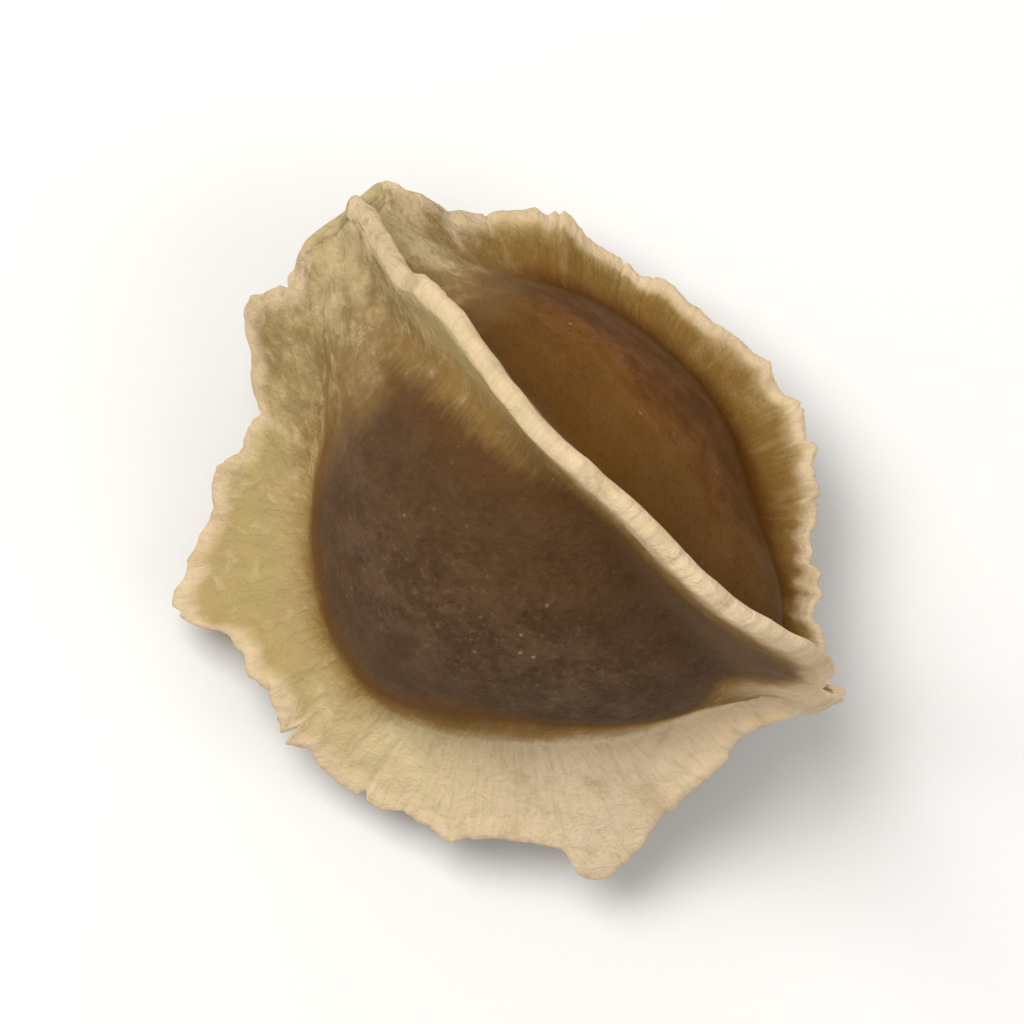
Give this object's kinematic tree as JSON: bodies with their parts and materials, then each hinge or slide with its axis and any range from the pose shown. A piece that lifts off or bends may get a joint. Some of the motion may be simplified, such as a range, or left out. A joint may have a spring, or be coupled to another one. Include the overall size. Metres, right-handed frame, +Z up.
{
  "type": "moringa seed",
  "caption": "Dried moringa seed: a round brown hull with pale papery wings that run from its neck to its tip, resting on a face with a wing upright.",
  "frame": {"origin": "middle of the seed's bounding box, at the level of the surface that it rests on", "axes": "+X along the seed's long axis from the neck to the tip, +Z up along the upright wing, -Y on the side of its larger face"},
  "size_m": [0.0134, 0.012, 0.011],
  "materials": {
    "seed": "satin brown hull, dull cream papery wings"
  },
  "bodies": {
    "root": {"moringa_seed": "seed"}
  },
  "joints": []
}
